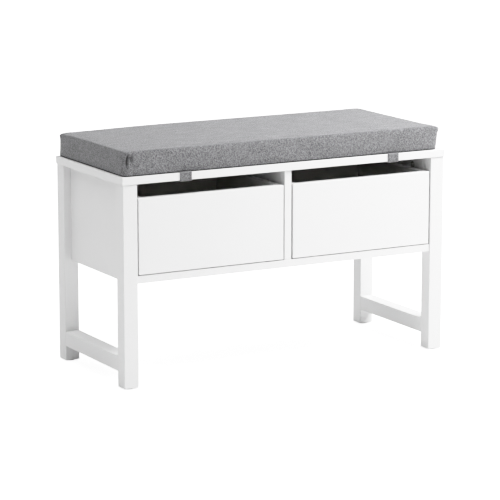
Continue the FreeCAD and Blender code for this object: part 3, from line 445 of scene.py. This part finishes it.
class PaddedBlock:
    """A closed quad mesh of a boxed cushion: wall rings round a rounded rectangle, and two grids."""

    def __init__(self, half_x, half_y, corner, profile):
        arc = corner * math.pi / 4
        grain = (FINE_STEP, COARSE_STEP, FINE_BAND)
        self.u = graded(2 * (half_x - corner + arc), *grain)
        self.v = graded(2 * (half_y - corner + arc), *grain)
        self.columns, self.rows = len(self.u), len(self.v)
        sides = []
        for quarter in range(4):
            lengthways = quarter % 2 == 0
            places = self.u if lengthways else self.v
            halves = (half_x, half_y) if lengthways else (half_y, half_x)
            points, normals = outline_side(places, *halves, corner)
            cos, sin = ((1, 0), (0, 1), (-1, 0), (0, -1))[quarter]
            turn = np.array([[cos, sin], [-sin, cos]])
            sides.append((points @ turn, normals @ turn, places))
        self.outline = np.concatenate([s[0][:-1] for s in sides])
        self.normals = np.concatenate([s[1][:-1] for s in sides])
        self.place = np.concatenate([s[2][:-1] for s in sides])
        self.side = np.concatenate([np.full(len(s[0]) - 1, q) for q, s in enumerate(sides)])
        self.around = len(self.outline)
        self.profile = profile
        self.build()

    def rim_index(self, i, j):
        """The place on the outline of a grid point that lies on the grid's rim, or None."""
        last_i, last_j = self.columns - 1, self.rows - 1
        if j == 0:
            return i
        if i == last_i:
            return last_i + j
        if j == last_j:
            return last_i + last_j + (last_i - i)
        if i == 0:
            return (2 * last_i + last_j + (last_j - j)) % self.around
        return None

    def grid(self, ring, height):
        """Points that fill a ring of the outline, blended from its four sides."""
        c, r = self.columns - 1, self.rows - 1
        front = ring[: c + 1]
        right = ring[c : c + r + 1]
        back = ring[c + r : 2 * c + r + 1][::-1]
        left = np.concatenate([ring[2 * c + r :], ring[:1]])[::-1]
        s = ((self.u - self.u[0]) / (self.u[-1] - self.u[0]))[:, None, None]
        t = ((self.v - self.v[0]) / (self.v[-1] - self.v[0]))[None, :, None]
        flat = (1 - t) * front[:, None] + t * back[:, None] + (1 - s) * left[None] + s * right[None]
        flat -= (1 - s) * (1 - t) * front[0] + s * (1 - t) * front[-1]
        flat -= (1 - s) * t * back[0] + s * t * back[-1]
        inner = flat[1:-1, 1:-1].reshape(-1, 2)
        return np.column_stack([inner, np.full(len(inner), height)])

    def build(self):
        rings = [self.outline - self.normals * inset for inset, _ in self.profile]
        heights = [np.full(self.around, z) for _, z in self.profile]
        walls = [np.column_stack([ring, height]) for ring, height in zip(rings, heights)]
        bottom = self.grid(rings[0], self.profile[0][1])
        top = self.grid(rings[-1], self.profile[-1][1])
        self.bottom_start = self.around * len(rings)
        self.top_start = self.bottom_start + len(bottom)
        self.points = np.concatenate(walls + [bottom, top])
        self.faces = []
        for level in range(len(rings) - 1):
            for k in range(self.around):
                here, there = k, (k + 1) % self.around
                low, high = level * self.around, (level + 1) * self.around
                self.faces.append((low + here, low + there, high + there, high + here))
        self.faces += self.grid_faces(0, self.bottom_start, flip=True)
        self.faces += self.grid_faces((len(rings) - 1) * self.around, self.top_start, flip=False)

    def grid_faces(self, ring_start, inner_start, flip):
        def index(i, j):
            rim = self.rim_index(i, j)
            if rim is not None:
                return ring_start + rim
            return inner_start + (i - 1) * (self.rows - 2) + (j - 1)

        faces = []
        for i in range(self.columns - 1):
            for j in range(self.rows - 1):
                face = (index(i, j), index(i + 1, j), index(i + 1, j + 1), index(i, j + 1))
                faces.append(face[::-1] if flip else face)
        return faces


def inflate(piece, held, most):
    """Blows a closed mesh up as cloth, holding some points; each point has its own most that it moves."""
    start = points_of(piece.data)
    group = piece.vertex_groups.new(name="held")
    group.add([int(k) for k in held], 1.0, "REPLACE")
    cloth = piece.modifiers.new("inflate", "CLOTH")
    stuff = cloth.settings
    stuff.quality = 5
    stuff.mass = 0.3
    stuff.tension_stiffness = 20
    stuff.compression_stiffness = 20
    stuff.shear_stiffness = 8
    stuff.bending_stiffness = 0.8
    stuff.air_damping = 4
    stuff.use_pressure = True
    stuff.uniform_pressure_force = CLOTH_PRESSURE
    stuff.vertex_group_mass = "held"
    stuff.effector_weights.gravity = 0
    cloth.collision_settings.use_collision = False
    cloth.point_cache.frame_start = 1
    cloth.point_cache.frame_end = CLOTH_STEPS
    scene = bpy.context.scene
    for step in range(1, CLOTH_STEPS + 1):
        scene.frame_set(step)
    blown = piece.evaluated_get(bpy.context.evaluated_depsgraph_get())
    end = points_of(blown.data)
    piece.modifiers.remove(cloth)
    piece.vertex_groups.remove(group)
    scene.frame_set(1)
    move = end - start
    far = np.linalg.norm(move, axis=1)
    share = most * np.tanh(far / most) / np.maximum(far, 1e-9)
    return start + move * share[:, None]


def fade(value, gone, full):
    """0 below the first value, 1 above the second, and a smooth rise between."""
    share = np.clip((value - gone) / (full - gone), 0.0, 1.0)
    return share * share * (3 - 2 * share)


def bell(value, middle, width):
    """1 at the middle, falling smoothly to 0 on both sides."""
    return np.exp(-(((value - middle) / width) ** 2))


def rumple(points, *lengths):
    """Smooth noise, about -0.5 to 0.5, at these points, with bumps of these lengths along X, Y and Z."""
    return np.array([noise.noise(Vector(p)) for p in points / np.array(lengths)])


# ---------------------------------------------------------------- cushion

FINE_STEP = 1.1 * MM
COARSE_STEP = 7.0 * MM
FINE_BAND = 30 * MM
CUSHION_CORNER = 9 * MM
TOP_ROUND = 3.5 * MM
FOOT_ROUND = 3.0 * MM
# Turns round the foot and round the top edge, in degrees; the seam lies partly round the top edge.
FOOT_TURNS = (90, 60, 30, 0)
SEAM_TURN = 33
TOP_TURNS = (0, 14, 26, SEAM_TURN, 40, 50, 62, 76, 90)
WALL_STEPS = 12
SEAM_LEVEL = len(FOOT_TURNS) + WALL_STEPS - 1 + TOP_TURNS.index(SEAM_TURN)
WALL_INSET = 0.5 * MM
ENDS_IN = 1.0 * MM
FACES_OUT = 1.0 * MM
CLOTH_PRESSURE = 4.0
CLOTH_STEPS = 20
CROWN = 1.3 * MM
BULGE = 2.2 * MM
LEAN = 8.0 * MM
ROUNDED = 4.0 * MM
DRAWN_IN = 7.0 * MM
GATHERED = 4.0 * MM
LIFT = 1.1 * MM

# The grip cloth's folded edge, as (inset, height) in mm; it peeks out as a near-black line round the
# cushion's foot, partly the cloth and partly painted contact shadow.
BOTTOM_CLOTH = ((1.4, 0.0), (0.7, 0.2), (0.45, 0.7), (0.45, 1.4), (0.9, 1.9), (1.8, 2.1))

# The tucked corners: on which side of the outline, at its first (1) or last (-1) end, and how deep.
TUCKS = ((0, 1, 1.0), (1, 1, 0.8), (2, 1, 0.9), (2, -1, 0.8))
# Each fold's depth, place past the corner's middle, width, and the heights where it fades in, in mm.
FOLDS = ((20.0, 4.8, 1.35, 12, 32), (9.0, 12.5, 1.6, 20, 34), (-0.9, 9.0, 2.2, 16, 30))
FOLDS_END = (37.0 * MM, 41.5 * MM)
NOTCH, NOTCH_PAST, NOTCH_WIDE, NOTCH_HIGH, NOTCH_TALL = (size * MM for size in (2.0, 16.5, 1.7, 7, 5))

WALL_WAVES, WALL_WAVE_LENGTHS = 1.6 * MM, (70 * MM, 70 * MM, 90 * MM)
PUCKERS, PUCKER_LENGTHS = 0.6 * MM, (17 * MM, 17 * MM, 60 * MM)
STRAP_PULL, STRAP_PULL_WIDE = 1.3 * MM, 15 * MM
SEAM_DEPTH = 1.9 * MM
SEAM_EDGES = 0.2 * MM
TOP_GATHERS, TOP_GATHER_LENGTH = 0.3 * MM, 16 * MM
TOP_WAVES, TOP_WAVE_LENGTHS = 1.1 * MM, (95 * MM, 70 * MM, 1.0)
CORNER_SAG, CORNER_SAG_WIDE = 2.0 * MM, 10 * MM
GATHERED_WIDE = 13 * MM
END_SAG, END_SAG_WIDE = 2.6 * MM, 22 * MM
REAR_SAG, REAR_SAG_LONG, REAR_SAG_DEEP = 3.0 * MM, 130 * MM, 60 * MM

LEAN_REACH = 90 * MM
ROUNDED_REACH = 24 * MM
ROUNDED_OUT = 2.0 * MM
DRAWN_REACH = 35 * MM
STRAPS = ("front_left_strap", "front_right_strap", "rear_left_strap", "rear_right_strap")


def cushion_profile(height):
    """(inset, height) of the wall's rings, from the foot over the wall to the top panel's rim."""
    rows = []
    for turn in FOOT_TURNS:
        angle = math.radians(turn)
        rows.append((FOOT_ROUND * (1 - math.cos(angle)), FOOT_ROUND * (1 - math.sin(angle))))
    low, high = FOOT_ROUND, height - TOP_ROUND
    for step in range(1, WALL_STEPS):
        share = step / WALL_STEPS
        rows.append((WALL_INSET * math.sin(math.pi * share), low + (high - low) * share))
    for turn in TOP_TURNS:
        angle = math.radians(turn)
        rows.append((TOP_ROUND * (1 - math.cos(angle)), high + TOP_ROUND * math.sin(angle)))
    return rows


def shape_end(points, height):
    """Leans the right end outwards, rounds its front corner, and draws it in behind that corner."""
    x, y, z = points.T
    end, front = x.max(), y.min()
    near = fade(x, end - LEAN_REACH, end - 5 * MM)
    behind = fade(y, front, front + DRAWN_REACH)
    rounding = np.clip((x - end) / ROUNDED_REACH + 1, 0, 1) ** 2 * (1 - behind)
    x -= near * (LEAN * (1 - z / height) ** 2 + DRAWN_IN * behind) - ROUNDED_OUT * rounding
    y += ROUNDED * rounding


def tuck(past, z):
    """How deep the folds of a gathered corner go, this far past the corner's middle."""
    folds = 0.0
    for depth, place, width, low, high in FOLDS:
        folds = folds + depth * MM * bell(past, place * MM, width * MM) * fade(z, low * MM, high * MM)
    notch = NOTCH * bell(past, NOTCH_PAST, NOTCH_WIDE) * bell(z, NOTCH_HIGH, NOTCH_TALL)
    return folds * (1 - fade(z, *FOLDS_END)) + notch


def wall_relief(block, ring_points, height):
    """How far each point of the wall is moved outwards: folds, puckers and the pull of the straps."""
    z = ring_points[:, :, 2]
    half = np.where(block.side % 2 == 0, block.u[-1], block.v[-1])
    flat = ring_points.reshape(-1, 3)
    waves = rumple(flat, *WALL_WAVE_LENGTHS).reshape(z.shape)
    puckers = rumple(flat, *PUCKER_LENGTHS).reshape(z.shape)
    below_seam = 1 - fade(z, height - 5 * MM, height - 2.5 * MM)
    relief = WALL_WAVES * waves * fade(z, 2 * MM, 12 * MM) * (1 - fade(z, 34 * MM, 44 * MM))
    relief += PUCKERS * puckers * fade(z, 24 * MM, 40 * MM) * below_seam
    for side, way, strength in TUCKS:
        past = half + way * block.place
        relief -= np.where(block.side == side, strength * tuck(past, z), 0.0)
    for name in STRAPS:
        low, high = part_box(name)
        across = bell(ring_points[:, :, 0], (low.x + high.x) / 2, STRAP_PULL_WIDE)
        same_side = np.sign(ring_points[:, :, 1]) == np.sign(low.y + high.y)
        relief -= STRAP_PULL * across * same_side * (1 - fade(z, 4 * MM, 30 * MM))
    return relief


def dress_walls(block, points, height):
    """Adds to the blown-up walls what sewing does to them: the seam, tucked corners and puckers."""
    levels = len(block.profile)
    walls = points[: levels * block.around].reshape(levels, block.around, 3)
    relief = wall_relief(block, walls, height)
    relief[SEAM_LEVEL] -= SEAM_DEPTH
    relief[SEAM_LEVEL - 1 : SEAM_LEVEL + 2] -= SEAM_EDGES
    walls[:, :, :2] += block.normals[None] * relief[:, :, None]


def dress_top(block, points, height):
    """Adds gathers and waves to the top panel, and lowers the corners and edges that sag."""
    x, y, z = points.T
    half_x, half_y = block.u[-1], block.v[-1]
    upper = fade(z, 25 * MM, height - 3 * MM)
    rim = np.minimum(half_x - np.abs(x), half_y - np.abs(y))
    on_top = fade(z, height - 2 * MM, height - 0.5 * MM)
    gathers = rumple(points, TOP_GATHER_LENGTH, TOP_GATHER_LENGTH, 1.0) * bell(rim, 5 * MM, 9 * MM)
    waves = rumple(points, *TOP_WAVE_LENGTHS) * fade(rim, 5 * MM, 40 * MM)
    z += on_top * (TOP_GATHERS * gathers + TOP_WAVES * waves)
    firsts = [np.nonzero(block.side == side)[0][0] for side in range(4)]
    for side, way, strength in TUCKS:
        corner = block.outline[firsts[side if way > 0 else (side + 1) % 4]]
        away = np.hypot(x - corner[0], y - corner[1])
        z -= CORNER_SAG * strength * bell(away, 0, CORNER_SAG_WIDE) * upper
        if side == 0:
            x += GATHERED * bell(away, 0, GATHERED_WIDE) * upper
    z -= END_SAG * fade(x, half_x - END_SAG_WIDE, half_x) * upper
    z -= REAR_SAG * bell(x, -half_x, REAR_SAG_LONG) * bell(y, half_y, REAR_SAG_DEEP) * upper


def finish_pad(piece, points, place, slot, *nodes):
    """Gives a piece its final points, moved to their place, ties it to the frame and hides the nodes that it
    stands for.
    """
    piece.data.vertices.foreach_set("co", (points + np.array(place)).ravel())
    piece.data.update()
    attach(piece, "frame")
    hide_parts(*nodes)


def make_cushion():
    """The stuffed cover, inflated between its foot and its top seam, and the cloth under it."""
    low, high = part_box("cushion_cover")
    size = high - low
    half_x, half_y, height = size.x / 2 - ENDS_IN, size.y / 2 + FACES_OUT, size.z + CROWN - LIFT
    place = ((low.x + high.x) / 2, (low.y + high.y) / 2, low.z + LIFT)
    block = PaddedBlock(half_x, half_y, CUSHION_CORNER, cushion_profile(height))
    piece = add_mesh("cushion", block.points, block.faces, finishes["cushion_fabric"])
    points = block.points.copy()
    ring = np.arange(SEAM_LEVEL * block.around, (SEAM_LEVEL + 1) * block.around)
    foot = np.nonzero(points[:, 2] < 0.5 * MM)[0]
    most = np.where(points[:, 2] > points[ring[0], 2] + 0.1 * MM, CROWN, BULGE)
    points = inflate(piece, np.concatenate([ring, foot]), most)
    dress_walls(block, points, height)
    dress_top(block, points, height)
    shape_end(points, height)
    finer = piece.modifiers.new("finer", "SUBSURF")
    finer.levels = finer.render_levels = 1
    finish_pad(piece, points, place, "cushion_fabric", "cushion_cover", "cushion_foam")
    make_bottom_cloth(half_x, half_y, height, place)


def make_bottom_cloth(half_x, half_y, height, place):
    """The dark grip cloth under the cushion, whose folded edge shows as a thin near-black line round its
    foot: partly the cloth itself, partly painted contact shadow.
    """
    profile = [(inset * MM, rise * MM) for inset, rise in BOTTOM_CLOTH]
    block = PaddedBlock(half_x, half_y, CUSHION_CORNER, profile)
    piece = add_mesh("cushion_bottom", block.points, block.faces, finishes["lining"])
    points = block.points.copy()
    shape_end(points, height)
    x, y, _ = place
    low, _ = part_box("cushion_bottom_cloth")
    finish_pad(piece, points, (x, y, low.z), "lining", "cushion_bottom_cloth")


# ---------------------------------------------------------------- straps

WEB = 1.4 * MM
WEB_BEND = 1.9 * MM
WEB_STEP = 0.7 * MM
STITCH = 2.8 * MM
STITCH_DEPTH = 0.45 * MM
# The hem's outer face, as (inset, height) in mm, and which of its places the stitches pull in.
HEM = ((0.0, 0.0), (0.25, 0.45), (1.0, 0.7), (1.7, 0.72), (2.4, 0.72), (3.1, 0.72), (3.9, 0.68), (4.5, 0.42))
STITCHED = 3
FACE_RISE = 0.42 * MM


def strap_route(low, high, board_high):
    """Places (outwards, upwards, and the way that the outer face looks) along the strap's middle."""
    edge = board_high.y + WEB / 2 - WEB_BEND
    top = board_high.z + WEB / 2
    tail = low.z + WEB / 2
    route = [(out, top, 90.0) for out in np.arange(edge - 5.5 * MM, edge, WEB_STEP)]
    turns = np.linspace(90, 0, 7)
    route += [bend(edge, top - WEB_BEND, turn) for turn in turns]
    route += [(edge + WEB_BEND, z, 0.0) for z in np.arange(top - WEB_BEND, tail + WEB_BEND, -WEB_STEP)[1:]]
    route += [bend(edge, tail + WEB_BEND, -turn) for turn in turns[::-1]]
    inner = min(abs(low.y), abs(high.y))
    route += [(out, tail, -90.0) for out in np.arange(edge, inner, -WEB_STEP)[1:]]
    return np.array(route)


def bend(out, z, turn):
    """One place of the route on a bend about this point, where the outer face looks that way."""
    angle = math.radians(turn)
    return out + WEB_BEND * math.cos(angle), z + WEB_BEND * math.sin(angle), turn


def strap_section(half_width, dimple):
    """(across, outwards) round the strap: a flat back, and a face with stitched hems on both sides."""
    hem = [(half_width - inset * MM, rise * MM) for inset, rise in HEM]
    across, rise = hem[STITCHED]
    hem[STITCHED] = (across, rise - dimple)
    face = hem + [(half_width * share, FACE_RISE) for share in (0.4, 0.2, 0.0)]
    face += [(-across, rise) for across, rise in face[-2::-1]]
    back = [(across, -WEB / 2) for across in np.linspace(-half_width + 0.4 * MM, half_width - 0.4 * MM, 8)]
    return face + back


def make_strap(name):
    """A webbing strap from under the cushion, over the board's edge and back under the board."""
    low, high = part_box(name)
    _, board_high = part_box("seat_board")
    way = 1 if low.y + high.y > 0 else -1
    middle, half_width = (low.x + high.x) / 2, (high.x - low.x) / 2
    route = strap_route(low, high, board_high)
    gone = np.concatenate([[0], np.cumsum(np.hypot(*np.diff(route[:, :2], axis=0).T))])
    points = []
    for (out, z, turn), far in zip(route, gone):
        angle = math.radians(turn)
        dimple = STITCH_DEPTH * (0.5 + 0.5 * math.cos(2 * math.pi * far / STITCH))
        for across, rise in strap_section(half_width, dimple):
            outwards = out + rise * math.cos(angle)
            points.append((middle + way * across, way * outwards, z + rise * math.sin(angle)))
    around = len(points) // len(route)
    faces = []
    for step in range(len(route) - 1):
        for k in range(around):
            here, there = step * around + k, step * around + (k + 1) % around
            faces.append((here, there, there + around, here + around))
    faces.append(tuple(range(around))[::-1])
    faces.append(tuple(range(len(points) - around, len(points))))
    piece = add_mesh(name + "_webbing", points, faces, finishes["strap_fabric"])
    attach(piece, "frame")
    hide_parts(name)


# ---------------------------------------------------------------- the scene

set_tones()
add_camera()
add_sky(zenith=2.6, horizon=0.02)
add_area_light("key", Vector((1.0, -0.64, 1.45)), size=0.7, power=43)
add_floor()
finish_cad_nodes()
make_cushion()
for name in STRAPS:
    make_strap(name)
